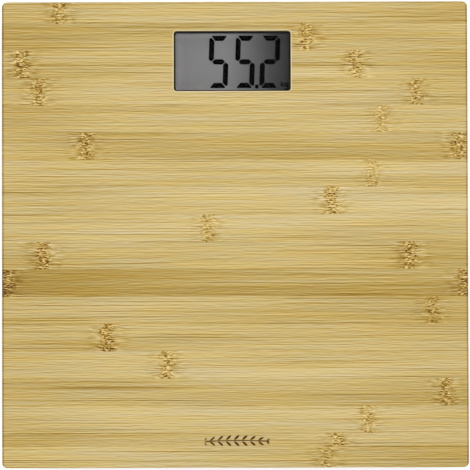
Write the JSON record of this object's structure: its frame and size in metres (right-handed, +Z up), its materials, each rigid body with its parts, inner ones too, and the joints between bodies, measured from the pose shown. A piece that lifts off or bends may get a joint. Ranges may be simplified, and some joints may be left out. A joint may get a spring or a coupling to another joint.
{
  "type": "digital bathroom scale",
  "caption": "Square bathroom scale with a laminated bamboo platform, a recessed liquid-crystal display, load-cell feet, a unit button and a sliding battery door.",
  "frame": {"origin": "on the floor under the middle of the platform", "axes": "+Z up, +X to the user's right, +Y towards the display edge"},
  "size_m": [0.3, 0.3, 0.024],
  "materials": {
    "bamboo": "laminated strips, satin lacquer",
    "clear_acrylic": "clear, polished",
    "black_tape": "matt",
    "black_abs": "fine spark texture",
    "grey_abs": "fine spark texture",
    "polariser_film": "clear film",
    "display_glass": "clear, polished",
    "crystal_ink": "lit liquid-crystal segments",
    "reflector_film": "satin grey reflector",
    "zebra_rubber": "layered silicone",
    "circuit_board": "green solder mask",
    "epoxy": "glossy epoxy",
    "chip_ceramic": "matt",
    "solder": "bright, rounded",
    "white_nylon": "moulded",
    "zinc_steel": "zinc plated",
    "coin_steel": "spun steel",
    "nickel_spring": "nickel plated",
    "cell_steel": "stamped, nickel plated",
    "white_silicone": "brushed-on coat",
    "black_rubber": "moulded, matt",
    "red_insulation": "smooth",
    "black_insulation": "smooth",
    "white_insulation": "smooth"
  },
  "bodies": {
    "platform": {"bamboo_board": "bamboo", "display_lens": "clear_acrylic", "lens_tape": "black_tape", "display_carrier": "black_abs", "front_polariser": "polariser_film", "front_glass": "display_glass", "lcd_digits": "crystal_ink", "rear_glass": "display_glass", "rear_reflector": "reflector_film", "zebra_strip_upper": "zebra_rubber", "zebra_strip_lower": "zebra_rubber", "main_board": "circuit_board", "processor_blob": "epoxy", "board_parts": "chip_ceramic", "solder_joints": "solder", "unit_switch": "black_abs", "electronics_housing": "black_abs", "housing_screws": "zinc_steel", "board_screws": "zinc_steel", "coin_cell": "coin_steel", "negative_contact": "nickel_spring", "positive_contact": "nickel_spring", "foot_screws": "zinc_steel", "red_leads": "red_insulation", "black_leads": "black_insulation", "white_leads": "white_insulation", "cell_housing_front_left": "black_abs", "load_cell_front_left": "cell_steel", "strain_gauge_front_left": "white_silicone", "wire_cover_front_left": "black_abs", "cell_housing_front_right": "black_abs", "load_cell_front_right": "cell_steel", "strain_gauge_front_right": "white_silicone", "wire_cover_front_right": "black_abs", "cell_housing_rear_left": "black_abs", "load_cell_rear_left": "cell_steel", "strain_gauge_rear_left": "white_silicone", "wire_cover_rear_left": "black_abs", "cell_housing_rear_right": "black_abs", "load_cell_rear_right": "cell_steel", "strain_gauge_rear_right": "white_silicone", "wire_cover_rear_right": "black_abs"},
    "unit_key": {"switch_plunger": "white_nylon", "unit_button": "grey_abs"},
    "door": {"battery_door": "black_abs"},
    "foot_front_left": {"foot_cup_front_left": "grey_abs", "foot_pad_front_left": "black_rubber"},
    "foot_front_right": {"foot_cup_front_right": "grey_abs", "foot_pad_front_right": "black_rubber"},
    "foot_rear_left": {"foot_cup_rear_left": "grey_abs", "foot_pad_rear_left": "black_rubber"},
    "foot_rear_right": {"foot_cup_rear_right": "grey_abs", "foot_pad_rear_right": "black_rubber"}
  },
  "joints": [
    {"name": "foot_press_front_left", "type": "slide", "parent": "platform", "child": "foot_front_left", "axis": [0, 0, 1], "range_m": [0, 0.0005], "stiffness_N_per_m": 2000},
    {"name": "foot_press_front_right", "type": "slide", "parent": "platform", "child": "foot_front_right", "axis": [0, 0, 1], "range_m": [0, 0.0005], "stiffness_N_per_m": 2000},
    {"name": "foot_press_rear_left", "type": "slide", "parent": "platform", "child": "foot_rear_left", "axis": [0, 0, 1], "range_m": [0, 0.0005], "stiffness_N_per_m": 2000},
    {"name": "foot_press_rear_right", "type": "slide", "parent": "platform", "child": "foot_rear_right", "axis": [0, 0, 1], "range_m": [0, 0.0005], "stiffness_N_per_m": 2000},
    {"name": "unit_button_press", "type": "slide", "parent": "platform", "child": "unit_key", "axis": [0, 0, 1], "range_m": [0, 0.0005], "stiffness_N_per_m": 3000, "springref_m": -0.0001},
    {"name": "battery_door_slide", "type": "slide", "parent": "platform", "child": "door", "axis": [-1, 0, 0], "range_m": [0, 0.024]}
  ]
}
